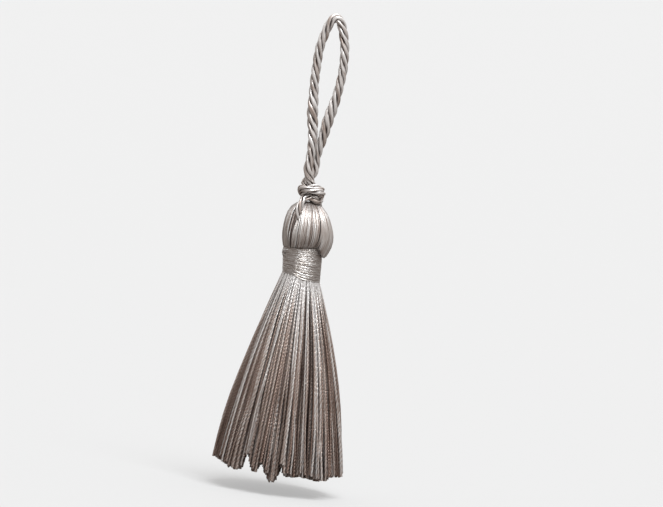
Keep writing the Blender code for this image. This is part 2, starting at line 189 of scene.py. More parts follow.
# twisted silk: round the yarn the UV map runs from 0 to 1, and along it in millimetres
# A yarn's tone also moves it to its own place in each pattern.
def silk(name, look):
    paint = Paint(name)
    spread = paint.node("UVMap", {"uv_map": "UVMap"})
    aroundYarn = paint.node("SeparateXYZ", None, {0: spread})
    alongYarn = Wire(paint, aroundYarn.socket.node.outputs[1])
    tone = paint.node("Attribute", {"attribute_name": "tone"}, None, 2)
    depth = paint.node("Attribute", {"attribute_name": "depth"}, None, 2)

    wander = paint.noise(spread, look["wanderScale"], dimensions="2D")
    # no two yarns are twisted alike
    pitch = (tone * look["pitchSpread"] + (1 - look["pitchSpread"] / 2)) * look["beadPitch"]
    ply = aroundYarn * look["plies"] - alongYarn / pitch + tone * look["plyShift"]
    ply = ply + wander * look["wander"]
    crown = (ply * math.pi).sine().size() ** look["valleySharpness"]
    # the filaments lie along the ply, so the grain is stretched that way
    grainPlace = paint.vector(
        ply * look["filaments"], alongYarn * look["grainLength"], tone * look["grainShift"]
    )
    grain = paint.noise(grainPlace, detail=look["grainDetail"], roughness=look["grainRoughness"])
    height = crown * look["twistHeight"] + grain * look["grainHeight"]
    raised = paint.node("Bump", None, {"Distance": look["bumpDistance"] * mm, "Height": height})

    patchPlace = paint.vector(
        aroundYarn * look["patchAround"], alongYarn * look["patchLength"], tone * look["patchShift"]
    )
    patch = paint.noise(patchPlace)
    # painted highlight on the ply crowns and painted shade in the valleys between them
    shade = crown * look["beadPaintedLight"] + grain * look["grainShade"] + patch * look["patchShade"]
    shade = shade + (tone - 0.5) * look["toneSpread"] + look["paler"]
    # painted highlight: paler where a yarn leaves the binding, fading along it
    shade = shade + look["rootPaintedHighlightFade"] ** alongYarn * look["rootPaintedHighlight"]
    colour = paint.node("ValToRGB", {"stops": look["stops"]}, {0: shade})
    # painted shade: the colour is mixed towards a dark brown as far as the depth attribute says
    deep = paint.mixColour(depth, colour, look["paintedShadeColour"])
    paint.set(
        Base_Color=deep,
        Roughness=grain * look["roughSpread"] + (look["roughness"] - look["roughSpread"] / 2),
        Normal=raised,
        Metallic=look["metallic"],
        IOR=look["ior"],
        Specular_IOR_Level=look["specular"],
        Anisotropic=look["stretch"],
        Anisotropic_Rotation=look["stretchTurn"],
    )
    return paint.material


silkLook = {
    "plies": 2.0,
    "plyShift": 37.0,
    "beadPitch": 1.25,
    "pitchSpread": 0.7,
    # painted highlight on the ply crowns, painted shade between them
    "beadPaintedLight": 0.34,
    "wander": 2.5,
    "wanderScale": 0.11,
    "valleySharpness": 0.7,
    "filaments": 2.6,
    "grainLength": 0.35,
    "grainShift": 40.0,
    "grainDetail": 2.0,
    "grainRoughness": 0.6,
    "grainShade": 0.40,
    "patchAround": 1.5,
    "patchLength": 0.12,
    "patchShift": 90.0,
    "patchShade": 0.40,
    "twistHeight": 0.55,
    "grainHeight": 0.35,
    "bumpDistance": 0.20,
    "toneSpread": 0.66,
    "paler": -0.11,
    # painted highlight near the binding
    "rootPaintedHighlight": 0.84,  # how much paler a yarn is where it leaves the binding
    "rootPaintedHighlightFade": 0.90,  # the share of that which is left after each further millimetre
    "stops": [
        (0.10, (0.13, 0.076, 0.057)),
        (0.38, (0.262, 0.186, 0.153)),
        (0.62, (0.46, 0.388, 0.348)),
        (0.92, (0.78, 0.76, 0.75)),
    ],
    # colour of the painted shade
    "paintedShadeColour": (0.055, 0.030, 0.023),
    "roughness": 0.34,
    "roughSpread": 0.12,
    "metallic": 0.5,
    "ior": 1.5,
    "specular": 0.8,
    "stretch": 0.0,
    "stretchTurn": 0.0,
}
paleStops = [  # whiter where the silk is drawn tight and shines
    (0.10, (0.13, 0.076, 0.057)),
    (0.38, (0.262, 0.197, 0.168)),
    (0.62, (0.46, 0.425, 0.40)),
    (0.92, (0.78, 0.78, 0.785)),
]
headLook = {
    **silkLook,
    "stops": paleStops,
    "beadPitch": 9.0,
    "beadPaintedLight": 0.20,
    "twistHeight": 0.1,
    "grainLength": 0.12,
    "grainHeight": 0.5,
    "bumpDistance": 0.12,
    "toneSpread": 0.28,
    "paler": 0.04,
    "rootPaintedHighlight": 0.0,
    "roughness": 0.38,
    "metallic": 0.40,
    "ior": 2.1,
    "specular": 0.5,
    "stretch": 0.15,
}
cordLook = {
    **silkLook,
    "beadPitch": 4.0,
    "beadPaintedLight": 0.20,
    "twistHeight": 0.15,
    "grainHeight": 0.5,
    "bumpDistance": 0.10,
    "paler": 0.27,
    "rootPaintedHighlight": 0.0,
    "roughness": 0.32,
}
bindingLook = {
    **silkLook,
    "stops": paleStops,
    "beadPitch": 5.0,
    "beadPaintedLight": 0.20,
    "filaments": 5.0,
    "twistHeight": 0.1,
    "grainLength": 0.45,
    "wander": 0.8,
    "grainHeight": 0.9,
    "bumpDistance": 0.14,
    "paler": 0.19,
    "rootPaintedHighlight": 0.0,
    "roughness": 0.29,
    "metallic": 0.80,
    "ior": 2.0,
    "specular": 0.5,
    "stretch": 0.95,
    "stretchTurn": 0.25,
}


# yarns as one joined mesh
# Paths holds each yarn's middle line, and outwards the side that its section starts from.
def yarnMesh(name, paths, radii, outwards, sides, tones, paintedShades, material, flatness=1.0):
    paths, radii = np.asarray(paths, float), np.asarray(radii, float)
    count, steps, _ = paths.shape
    ways = np.gradient(paths, axis=1)
    ways /= np.linalg.norm(ways, axis=2, keepdims=True)
    across = outwards - (outwards * ways).sum(axis=2, keepdims=True) * ways
    across /= np.linalg.norm(across, axis=2, keepdims=True)
    beside = np.cross(ways, across)
    turned = np.arange(sides) * 2 * math.pi / sides
    ring = across[:, :, None] * np.cos(turned)[None, None, :, None] * flatness
    ring = ring + beside[:, :, None] * np.sin(turned)[None, None, :, None]
    points = (paths[:, :, None] + ring * radii[:, :, None, None]) * mm
    runs = np.linalg.norm(np.diff(paths, axis=1), axis=2).cumsum(axis=1)
    runs = np.concatenate([np.zeros((count, 1)), runs], axis=1)

    index = np.arange(count * steps * sides).reshape(count, steps, sides)
    after = np.roll(index, -1, axis=2)
    walls = np.stack([index[:, :-1], after[:, :-1], after[:, 1:], index[:, 1:]], axis=-1).reshape(-1, 4)
    caps = np.concatenate([index[:, 0, ::-1], index[:, -1]])
    mesh = bpy.data.meshes.new(name)
    mesh.from_pydata(points.reshape(-1, 3), [], [*walls.tolist(), *caps.tolist()])

    share = np.arange(sides) / sides
    left = np.broadcast_to(share, (count, steps - 1, sides))
    low = np.broadcast_to(runs[:, :-1, None], left.shape)
    high = np.broadcast_to(runs[:, 1:, None], left.shape)
    right = left + 1 / sides
    wallUv = np.stack([left, low, right, low, right, high, left, high], axis=-1).reshape(-1, 2)
    capRing = np.stack([np.cos(turned), np.sin(turned)], axis=-1) * capSize + 0.5
    capUv = np.concatenate([np.tile(capRing[::-1], (count, 1)), np.tile(capRing, (count, 1))])
    layer = mesh.uv_layers.new(name="UVMap")
    layer.data.foreach_set("uv", np.concatenate([wallUv, capUv]).astype(np.float32).ravel())
    # tone is the yarn's own colour; depth holds painted shade
    for label, values in (("tone", tones), ("depth", paintedShades)):
        spreadOut = np.broadcast_to(np.asarray(values, float).reshape(count, -1), (count, steps))
        perPoint = np.repeat(spreadOut.reshape(-1), sides).astype(np.float32)
        mesh.attributes.new(label, "FLOAT", "POINT").data.foreach_set("value", perPoint)
    mesh.materials.append(material)
    mesh.shade_smooth()
    mesh.set_sharp_from_angle(angle=math.radians(yarnSmoothBelow))
    piece = bpy.data.objects.new(name, mesh)
    bpy.context.scene.collection.objects.link(piece)
    return piece


def finishPiece(piece, slot, *nodes):
    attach(piece, "root")
    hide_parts(*nodes)
    print(f"{piece.name}: {len(piece.data.polygons)} faces")


# skirt
skirt = {
    "yarns": 1350,
    "sections": 11,
    "crowding": 1.15,  # above 1, the sections lie closer together near the binding
    "sides": 5,
    "rootRadius": 5.05,
    "hemRadius": 18.7,
    "cutLength": 55.4,
    "fanCurve": 0.30,
    "rootWidth": 0.30,
    "hemWidth": 0.70,
    "widthSpread": 0.35,
    "thinUntil": 0.5,  # the share of its length in which a yarn opens to its full width
    "stray": 0.50,
    "sway": 0.34,
    "wave": 0.22,
    "waves": 9.0,  # radians of it in a yarn
    "phases": 6.0,
    "clumps": 270,
    "clumpPull": 0.45,
    "clumpJitter": 0.02,
    "tufts": 36,
    "tuftPull": 0.13,
    "tuftJitter": 0.05,
    "pullSpread": (0.6, 1.2),
    "drift": 0.9,
    "driftScale": 7.0,
    "driftLayers": (9.3, 40.7),
    "crossing": 0.08,  # share of the outer yarns that lie across the others
    "crossingTurn": 9.0,  # how many degrees they lie across
    "crossingFrom": 0.8,  # share of the radius from which a yarn counts as an outer one
    "unevenCut": 0.7,
    "changeEdge": 4,  # an even number; the higher, the sharper the steps in the hem
    "slantFade": 3,  # the higher, the sooner the yarns leave the binding's slant
    "tucked": 1.3,  # how far a yarn reaches up inside the binding
    "coverWidth": 0.55,  # how near beside a yarn the ones that shade it lie
    "coverFrom": 0.15,  # and how far in front, in widths
    # painted shade from the yarns outside, more towards the hem, less on the cut ends
    "coverPaintedShade": 0.40,
    "hemPaintedShade": 0.36,
    "hemPaintedShadeCurve": 1.5,
    "endPaintedShadeCap": 0.45,
    "seed": 11,
}
hemChanges = [  # x, half width, how much longer
    (-16.5, 2.4, -1.0),
    (-11.6, 1.5, 0.5),
    (-8.3, 1.15, -4.2),
    (-4.2, 0.9, -2.4),
    (-0.9, 1.2, 2.0),
    (1.6, 0.7, -2.2),
    (12.5, 2.4, 0.9),
]


def driftAt(x, y):
    return np.array([noise.noise(Vector((x, y, layer))) for layer in skirt["driftLayers"]])


# places spread evenly over a disc of radius 1
def sunflower(count, jitter=0.0, draw=None):
    number = np.arange(count)
    turned = number * goldenAngle
    reach = np.sqrt((number + 0.5) / count)
    places = np.stack([np.cos(turned), np.sin(turned)], axis=-1) * reach[:, None]
    return places + draw.normal(0, jitter, (count, 2)) if draw else places


def skirtPaths():
    draw = np.random.default_rng(skirt["seed"])
    roots = sunflower(skirt["yarns"])
    clumps = sunflower(skirt["clumps"], skirt["clumpJitter"], draw)
    tufts = sunflower(skirt["tufts"], skirt["tuftJitter"], draw)
    paths, radii = [], []
    for root in roots:
        reach = np.linalg.norm(root)
        hem = root.copy()
        for centres, pull in ((clumps, skirt["clumpPull"]), (tufts, skirt["tuftPull"])):
            nearest = centres[np.argmin(np.linalg.norm(centres - root, axis=1))]
            hem += (nearest - root) * pull * draw.uniform(*skirt["pullSpread"])
        hem = hem * skirt["hemRadius"] + draw.normal(0, skirt["stray"], 2)
        hem += driftAt(*(hem / skirt["driftScale"])) * skirt["drift"]
        if reach > skirt["crossingFrom"] and draw.uniform() < skirt["crossing"]:
            turn = math.radians(skirt["crossingTurn"] * draw.choice((-1, 1)))
            cos, sin = math.cos(turn), math.sin(turn)
            hem = np.array([hem[0] * cos - hem[1] * sin, hem[0] * sin + hem[1] * cos])
        sway = draw.normal(0, skirt["sway"], 2)
        wave = draw.normal(0, skirt["wave"], 2)
        phase = draw.uniform(0, skirt["phases"])
        length = skirt["cutLength"] + draw.uniform(-1, 1) * skirt["unevenCut"]
        for x, halfWidth, longer in hemChanges:
            length += longer * math.exp(-(((hem[0] - x) / halfWidth) ** skirt["changeEdge"]))
        outwards = reach * (skirt["hemRadius"] - skirt["rootRadius"])
        fall = math.sqrt(length**2 - outwards**2)
        width = skirt["hemWidth"] * (1 + draw.uniform(-1, 1) * skirt["widthSpread"])
        path, radius = [], []
        for along in np.linspace(0, 1, skirt["sections"]) ** skirt["crowding"]:
            opened = (1 + skirt["fanCurve"]) * along - skirt["fanCurve"] * along**2
            spot = root * skirt["rootRadius"] * (1 - opened) + hem * opened
            spot = spot + sway * math.sin(math.pi * along)
            spot = spot + wave * math.sin(skirt["waves"] * along + phase) * along
            x = neck["footX"] * (1 - along) + spot[0]
            drop = neck["foot"] + (fall + skirt["tucked"]) * along - skirt["tucked"]
            drop += slant(x, neck["foot"]) * (1 - along) ** skirt["slantFade"]
            path.append((x, spot[1], -drop))
            radius.append(mixed(skirt["rootWidth"], width, eased(along / skirt["thinUntil"])) / 2)
        paths.append(path)
        radii.append(radius)
    return np.array(paths), np.array(radii), draw.uniform(0, 1, len(roots))


# how far each yarn is covered from outside by the others, at each of its sections; this sets the painted
# shade
def coverOf(paths, radii):
    cover = []
    for spots, radius in zip(paths[:, :, :2].transpose(1, 0, 2), radii.T):
        reach = np.linalg.norm(spots, axis=1)
        turned = np.arctan2(spots[:, 1], spots[:, 0])
        beside = (turned[None] - turned[:, None] + math.pi) % (2 * math.pi) - math.pi
        beside = np.abs(beside) * reach[:, None] / (skirt["coverWidth"] + radius[:, None])
        ahead = (reach[None] - reach[:, None]) / (2 * radius[:, None])
        ahead = np.clip(ahead - skirt["coverFrom"], 0, 1)
        cover.append((ahead * np.clip(1 - beside, 0, 1)).sum(axis=1))
    return np.array(cover).T


def makeSkirt(material):
    paths, radii, tones = skirtPaths()
    towardsHem = np.linspace(0, 1, skirt["sections"])[None] ** skirt["hemPaintedShadeCurve"]
    # painted shade: darker where other yarns cover a yarn from outside and towards the hem, less on the cut
    # ends
    paintedShades = 1 - np.exp(-coverOf(paths, radii) * skirt["coverPaintedShade"] - towardsHem * skirt["hemPaintedShade"])
    paintedShades[:, -1] = np.minimum(paintedShades[:, -1], skirt["endPaintedShadeCap"])  # the cut ends lie open to the light
    offMiddle = 0.01  # so that a yarn on the axis has an outward side as well
    outwards = paths * (1, 1, 0) + (0, offMiddle, 0)
    piece = yarnMesh("skirtYarns", paths, radii, outwards, skirt["sides"], tones, paintedShades, material)
    finishPiece(piece, "skein_silk", "skein")


# head
head = {
    "yarns": 168,
    "underYarns": 70,
    "slackSections": 20,
    "sides": 5,
    "overlap": 1.60,
    "leastWidth": 0.30,
    "underShare": 0.91,
    # painted shade on the layer of yarns below
    "underPaintedShade": 0.7,
    "jitter": 0.35,
    "wander": 1.6,
    "slackAngle": 82.0,
    "slackWidth": 42.0,
    "slackCurve": 0.8,
    "slackSpread": 0.04,
    "dip": 0.05,  # how far a yarn may lie below its neighbours
    "crownDip": 0.30,  # and further on the crown, inside the radius below
    "crownRadius": 5.5,
    "ripple": 0.05,
    "ripples": (5, 9),  # radians of it in a yarn
    "phases": 6.0,
    "sectionRise": 0.4,  # how far upwards the section's outward side looks
    "crown": 52.4,  # drop down to which the fold's own shade lies on the yarns
    "crownFade": 1.9,
    # painted shade of the fold on the crown
    "crownPaintedShade": 0.52,
    "levelDrop": 58.0,  # below it the yarns begin to follow the binding's slant
    "seed": 5,
}
headRings = [  # drop, x, radius, share of the grooves' depth, how deep for its width
    (51.15, -0.70, 1.30, 0.2, 0.80),
    (51.30, -0.70, 2.50, 0.6, 0.80),
    (51.90, -0.70, 3.80, 0.9, 0.80),
    (53.00, -0.70, 5.00, 1.0, 0.88),
    (54.50, -0.60, 5.85, 1.0, 0.96),
    (56.30, -0.45, 6.45, 1.0, 1.04),
    (58.20, -0.40, 6.75, 0.6, 1.11),
    (60.00, -0.40, 6.80, 0.3, 1.16),
    (61.60, -0.40, 6.60, 0.15, 1.15),
    (62.70, -0.50, 6.20, 0.05, 1.09),
    (63.35, -0.65, 5.85, 0.0, 1.03),
    (63.75, -0.75, 5.50, 0.0, 1.00),
    (64.30, -0.80, 5.15, 0.0, 1.00),
    (65.20, -0.80, 4.85, 0.0, 1.00),
]
slackRings = [  # the same for the slack yarns, which hang over the binding and fold back under it
    (51.15, -0.70, 1.30, 0.2, 0.80),
    (51.40, -0.70, 2.70, 0.6, 0.80),
    (52.40, -0.70, 4.40, 0.9, 0.86),
    (54.50, -0.60, 5.95, 1.0, 0.96),
    (56.30, -0.45, 6.65, 1.0, 1.04),
    (58.20, -0.40, 7.30, 0.9, 1.08),
    (60.00, -0.40, 7.75, 0.7, 1.08),
    (62.00, -0.50, 8.00, 0.5, 1.04),
    (64.00, -0.60, 7.90, 0.3, 1.00),
    (65.80, -0.70, 7.35, 0.0, 1.00),
    (66.90, -0.75, 6.80, 0.0, 1.00),
    (67.10, -0.75, 6.40, 0.0, 1.00),
    (66.60, -0.78, 6.15, 0.0, 1.00),
    (65.40, -0.80, 6.05, 0.0, 1.00),
    (64.40, -0.80, 5.95, 0.0, 1.00),
    (63.85, -0.80, 5.60, 0.0, 1.00),
    (64.20, -0.80, 5.20, 0.0, 1.00),
    (65.20, -0.80, 4.85, 0.0, 1.00),
]
grooves = [  # angle, width, depth
    (-34.0, 11.0, 1.45),
    (60.0, 7.0, 0.85),
    (146.0, 11.0, 1.45),
    (-122.0, 8.0, 0.75),
]


def sampled(rings, count):
    rings = np.array(rings)
    places = np.linspace(0, len(rings) - 1, count)
    return np.stack([np.interp(places, np.arange(len(rings)), column) for column in rings.T])


# the yarns that are drawn tight, or else the slack ones
def headPaths(count, shrink, hanging):
    draw = np.random.default_rng(head["seed"])
    sections = head["slackSections"] if hanging else len(headRings)
    tight, loose = sampled(headRings, sections), sampled(slackRings, sections)
    along = np.linspace(0, 1, sections)
    paths, radii, outs, tones, paintedShades = [], [], [], [], []
    for i in range(count):
        angle = 360 * (i + draw.uniform(-1, 1) * head["jitter"]) / count
        angles = angle + draw.normal(0, head["wander"]) * np.sin(math.pi * along)
        fromSlack = angleBetween(angle, head["slackAngle"]) / head["slackWidth"]
        slack = max(0.0, 1 - fromSlack**2) ** head["slackCurve"]
        slack *= 1 - head["slackSpread"] + head["slackSpread"] * draw.uniform()
        if shrink < 1:  # the layer below has no slack yarns
            slack = 0.0
        if hanging != (slack > 0):
            continue
        drop, x, radius, lobes, deeper = mixed(tight, loose, slack)
        groove = sum(depth * bump(angleBetween(angles, at), 0, width) for at, width, depth in grooves)
        onCrown = np.clip(1 - radius / head["crownRadius"], 0, 1)
        dip = draw.uniform(0, 1) * (head["dip"] + head["crownDip"] * onCrown)
        ripples = along * draw.uniform(*head["ripples"])
        dip = dip + head["ripple"] * np.sin(ripples + draw.uniform(0, head["phases"]))
        reach = radius * shrink - lobes * groove * (1 - slack) - dip
        width = np.maximum(head["leastWidth"], head["overlap"] * 2 * math.pi * reach / count)
        offsetX, offsetY = around(angles, reach - width / 2)
        px = x + offsetX
        fade = np.clip((drop - head["levelDrop"]) / (neck["top"] - head["levelDrop"]), 0, 1)
        down = drop + fade * neck["topTilt"] * (px - x)
        paths.append(np.stack([px, offsetY * deeper, -down], axis=-1))
        radii.append(width / 2)
        sideX, sideY = around(angles, 1.0)
        outs.append(np.stack([sideX, sideY, np.full(len(along), head["sectionRise"])], axis=-1))
        tones.append(draw.uniform(0, 1))
        # painted shade on the crown, fading out below it
        paintedShades.append(head["crownPaintedShade"] * (1 - eased((drop - head["crown"]) / head["crownFade"])))
    return np.array(paths), np.array(radii), np.array(outs), np.array(tones), np.array(paintedShades)


def makeHead(material):
    for name, count, shrink, hanging, deep in (
        ("headYarns", head["yarns"], 1.0, False, 0.0),
        ("headSlackYarns", head["yarns"], 1.0, True, 0.0),
        ("headUnderYarns", head["underYarns"], head["underShare"], False, head["underPaintedShade"]),
    ):
        paths, radii, outs, tones, paintedShades = headPaths(count, shrink, hanging)
        # painted shade: each layer gets at least its own amount
        paintedShades = np.maximum(paintedShades, deep)
        piece = yarnMesh(name, paths, radii, outs, head["sides"], tones, paintedShades, material)
        finishPiece(piece, "skein_silk", "skein")


# curves for cords and threads
def runAlong(line):
    return np.concatenate([[0], np.linalg.norm(np.diff(line, axis=0), axis=1).cumsum()])


def evenly(line, count):
    run = runAlong(line)
    places = np.linspace(0, run[-1], count)
    return np.stack([np.interp(places, run, line[:, k]) for k in range(3)], axis=-1)


# a curve through all of the points, in even steps
def smoothRoute(points, step):
    points = np.asarray(points, float)
    padded = np.concatenate([points[:1] * 2 - points[1:2], points, points[-1:] * 2 - points[-2:-1]])
    between = 16
    dense = []
    for i in range(len(points) - 1):
        before, start, end, after = padded[i : i + 4]
        for t in np.arange(between) / between:
            spot = 2 * start + (end - before) * t
            spot = spot + (2 * before - 5 * start + 4 * end - after) * t**2
            spot = spot + (3 * start - before - 3 * end + after) * t**3
            dense.append(spot / 2)
    dense = np.array([*dense, points[-1]])
    return evenly(dense, max(3, round(runAlong(dense)[-1] / step) + 1))


def joined(pieces, name):
    bpy.ops.object.select_all(action="DESELECT")
    for piece in pieces:
        piece.select_set(True)
    bpy.context.view_layer.objects.active = pieces[0]
    bpy.ops.object.join()
    piece = bpy.context.view_layer.objects.active
    piece.name = name
    return piece


# the section of one of the cord's strands: a few round yarns that lie against each other
def strandSection():
    name = "strandSection"
    curve = bpy.data.curves.new(name, "CURVE")
    curve.dimensions = "2D"
    curve.fill_mode = "NONE"
    spline = curve.splines.new("POLY")
    perYarn = cord["yarnSides"]
    sides = cord["yarnsInStrand"] * perYarn
    spline.points.add(sides - 1)
    for i, point in enumerate(spline.points):
        swell = abs(math.sin(math.pi * i / perYarn)) ** cord["yarnCurve"]
        reach = mixed(cord["yarnValley"], 1.0, swell) * (cord["strandWidth"] / 2) * mm
        turned = 2 * math.pi * i / sides
        point.co = (reach * math.cos(turned), reach * math.sin(turned), 0, 1)
    spline.use_cyclic_u = True
    made = bpy.data.objects.new(name, curve)
    bpy.context.scene.collection.objects.link(made)
    made.hide_render = True
    return made


# one mesh of several strands, each of them a list of points with the width at each
def strandMesh(name, runs, section, lay, tones, material):
    curve = bpy.data.curves.new(name, "CURVE")
    curve.dimensions = "3D"
    curve.bevel_mode = "OBJECT"
    curve.bevel_object = section
    curve.use_fill_caps = True
    curve.twist_mode = "MINIMUM"
    made = bpy.data.objects.new(name, curve)
    bpy.context.scene.collection.objects.link(made)
    parts = []
    for number, (points, widths) in enumerate(runs):
        curve.splines.clear()
        spline = curve.splines.new("POLY")
        spline.points.add(len(points) - 1)
        length = runAlong(points)
        for i, point in enumerate(spline.points):
            point.co = (*(points[i] * mm), 1.0)
            point.radius = widths[i]
            point.tilt = 2 * math.pi * length[i] / lay
        graph = bpy.context.evaluated_depsgraph_get()
        mesh = bpy.data.meshes.new_from_object(made.evaluated_get(graph))
        uv = np.zeros(len(mesh.loops) * 2, np.float32)
        mesh.uv_layers[0].data.foreach_get("uv", uv)
        uv = uv.reshape(-1, 2)[:, ::-1].copy()  # a curve's own map has them the other way
        uv[:, 1] *= length[-1]
        mesh.uv_layers[0].data.foreach_set("uv", uv.ravel())
        mesh.uv_layers[0].name = "UVMap"
        tone = np.full(len(mesh.vertices), tones[number], np.float32)
        mesh.attributes.new("tone", "FLOAT", "POINT").data.foreach_set("value", tone)
        mesh.attributes.new("depth", "FLOAT", "POINT")
        part = bpy.data.objects.new(name, mesh)
        bpy.context.scene.collection.objects.link(part)
        parts.append(part)
    bpy.data.objects.remove(made, do_unlink=True)
    piece = joined(parts, name)
    bpy.ops.object.mode_set(mode="EDIT")
    bpy.ops.mesh.select_all(action="SELECT")
    bpy.ops.mesh.remove_doubles(threshold=weldDistance)
    bpy.ops.mesh.normals_make_consistent(inside=False)
    bpy.ops.object.mode_set(mode="OBJECT")
    piece.data.materials.clear()
    piece.data.materials.append(material)
    bpy.ops.object.shade_smooth_by_angle(angle=math.radians(strandSmoothBelow))
    return piece


# binding
binding = {
    "turns": 13.5,
    "startAngle": 70.0,
    "threadWidth": 0.72,
    "strandWidth": 0.53,
    "flatness": 0.60,
    "topRadius": 5.62,
    "footRadius": 5.48,
    "stepLength": 0.40,
    "tieOffStep": 0.3,
    "uneven": 0.16,
    "unevenTurn": 50.0,  # degrees over which a turn wanders up or down
    "unevenLayers": (-0.5, 4.5),  # of the two threads that are wound together
    "unevenRaised": 0.4,
    "tone": 0.35,
    "toneStep": 0.1,
    "sides": 6,
}
tieOff = [  # angle, drop, how far it stands out
    [(-88, 64.3, -0.1), (-78, 64.9, 0.28), (-68, 65.9, 0.42), (-58, 66.4, 0.30), (-50, 66.3, -0.1)],
    [(-86, 66.3, -0.1), (-76, 65.9, 0.35), (-66, 65.0, 0.60), (-56, 64.6, 0.40), (-46, 64.7, -0.1)],
    [(-80, 67.0, -0.1), (-72, 66.3, 0.40), (-63, 65.4, 0.30), (-52, 65.4, -0.1)],
]


def onBinding(angle, drop, raised):
    radius = mixed(binding["topRadius"], binding["footRadius"], downNeck(drop))
    x, y = around(angle, radius + raised - binding["strandWidth"] * binding["flatness"] / 2)
    x += neckX(drop)
    return (x, y, -(drop + slant(x, drop)))


def bindingPaths():
    start = neck["top"] + binding["threadWidth"] / 2
    end = neck["foot"] - binding["threadWidth"] / 2
    count = round(binding["turns"] * 2 * math.pi * binding["topRadius"] / binding["stepLength"])
    wound = []
    for strand, layer in zip((-0.5, 0.5), binding["unevenLayers"]):
        points = []
        for share in np.linspace(0, 1, count):
            angle = binding["startAngle"] + 360 * binding["turns"] * share
            wave = binding["uneven"] * noise.noise(Vector((angle / binding["unevenTurn"], layer, 0.0)))
            drop = mixed(start, end, share) + wave + strand * binding["threadWidth"] / 2
            points.append(onBinding(angle, drop, wave * binding["unevenRaised"]))
        wound.append(np.array(points))
    short = []
    for points in tieOff:
        short.append(smoothRoute([onBinding(*point) for point in points], binding["tieOffStep"]))
    return [*wound, *short]


def makeBinding(material):
    pieces = []
    for number, path in enumerate(bindingPaths()):
        radii = np.full(len(path), binding["strandWidth"] / 2)
        centres = np.stack([neckX(-path[:, 2]), 0 * path[:, 0], path[:, 2]], axis=-1)
        tones = [binding["tone"] + binding["toneStep"] * number]
        made = yarnMesh(
            "bindingThread",
            path[None],
            radii[None],
            (path - centres)[None],
            binding["sides"],
            tones,
            [0.0],
            material,
            binding["flatness"],
        )
        pieces.append(made)
    piece = joined(pieces, "bindingThread")
    finishPiece(piece, "binding_silk", "neck_wrap")


# cord
cord = {
    "diameter": 2.7,
    "strands": 4,
    "lay": 12.4,
    "strandWidth": 1.16,
    "strandTones": (0.3, 0.7, 0.45, 0.6),
    "yarnsInStrand": 3,
    "yarnSides": 4,
    "yarnValley": 0.70,  # radius between two yarns, as a share of the strand's
    "yarnCurve": 0.7,
    "strandLay": 26.0,
    "stepLength": 0.42,
    "looser": 0.24,  # how much wider both sides of the loop are round the drop below
    "looseDrop": 26.5,
    "looseLength": 5.5,
    "freeFrom": 1.5,  # the squeeze ends this far above the knot's centre
    "freeWithin": 5.0,  # and the cord has its full width this much higher
    # painted shade in the cord's valleys, between its strands
    "valley": 0.62,
    "valleyEdge": 0.24,
    "valleyPaintedShade": 0.85,
}
knot = {
    "centre": (0.15, 0.1, 48.75),  # x, y, drop
    "cordWidth": 1.7,  # the cord is squeezed to this in the knot
    "squeeze": 0.74,  # and its strands to this share of their width
    "scale": (-1.26, 1.05, 0.70),  # negative, because the knot is tied left-handed
    "turned": 129.0,
    "rolled": -7.0,
    "core": 4.0,  # how far to each side the knot's middle is looked for
    "topCut": 2.9,  # simulated points higher above the centre than this are left out
    "footCuts": (0.45, 1.85),  # and so are lower ones, of the front and the back cord
}
knotLoose = {
    "points": 600,
    "opening": 0.12,  # left between the ends, in radians
    "size": 1.9,
    "depth": 2.2,
    "tails": [(0.2, -1.6), (1.4, -3.0), (4.0, -3.6), (6.0, -3.6)],
}
knotPull = {
    "points": 400,
    "spacing": 0.8,
    "steps": 720,
    "sweeps": 4,
    "reach": 0.09,  # how far the ends move outwards at each step
    "keptSpeed": 0.8,
    "searchEvery": 8,  # steps between two searches for cords that lie near each other
    "searchWidth": 1.9,  # how near, in widths
    "ownWidth": 1.6,  # a cord doesn't push itself away over a shorter run than this
    "stiffness": 0.05,
    "sideBySide": 0.15,
    "push": 0.4,
    "mostPush": 0.25,
    "pushGain": 1.6,
}
loopRoute = [  # x, y, drop, from the knot up over the top and down again
    (-2.25, -0.6, 42.5),
    (-2.10, -0.6, 39.0),
    (-2.00, -0.5, 36.0),
    (-2.25, -0.3, 32.0),
    (-3.10, 0.0, 26.3),
    (-3.70, 0.2, 18.6),
    (-3.80, 0.3, 13.0),
    (-3.55, 0.2, 7.5),
    (-2.50, 0.1, 2.6),
    (-1.30, 0.0, -0.4),
    (0.00, 0.0, -1.35),
    (1.30, 0.0, -0.4),
    (2.50, -0.1, 2.8),
    (3.55, -0.2, 8.0),
    (3.70, -0.2, 14.0),
    (2.95, -0.1, 20.5),
    (1.70, 0.1, 26.3),
    (0.75, 0.5, 32.0),
    (-0.10, 1.2, 36.0),
    (-0.50, 1.7, 39.0),
    (-0.60, 1.8, 42.5),
]
bight = {
    "x": -0.55,
    "angle": -34.0,  # of the front leg; the back one is opposite
    "foot": 60.1,
}
bightRoute = [  # how far out, drop
    (2.9, 50.1),
    (3.7, 50.7),
    (4.4, 51.6),
    (4.85, 52.9),
    (4.9, 54.6),
    (4.2, 57.2),
    (2.9, 59.4),
]


# an overhand knot, still loose, whose ends lead away sideways
def looseKnot():
    opening = knotLoose["opening"]
    turn = np.linspace(math.pi + opening, 3 * math.pi - opening, knotLoose["points"])
    x = knotLoose["size"] * (np.sin(turn) + 2 * np.sin(2 * turn))
    y = knotLoose["size"] * (np.cos(turn) - 2 * np.cos(2 * turn))
    loose = np.stack([x, y, -knotLoose["depth"] * np.sin(3 * turn)], axis=-1)
    tails = []
    for end in (loose[0], loose[-1]):
        side = math.copysign(1.0, end[0])
        tails.append([end + (side * out, down, 0.0) for out, down in knotLoose["tails"]])
    return np.array([*tails[0][::-1], *loose, *tails[1]])


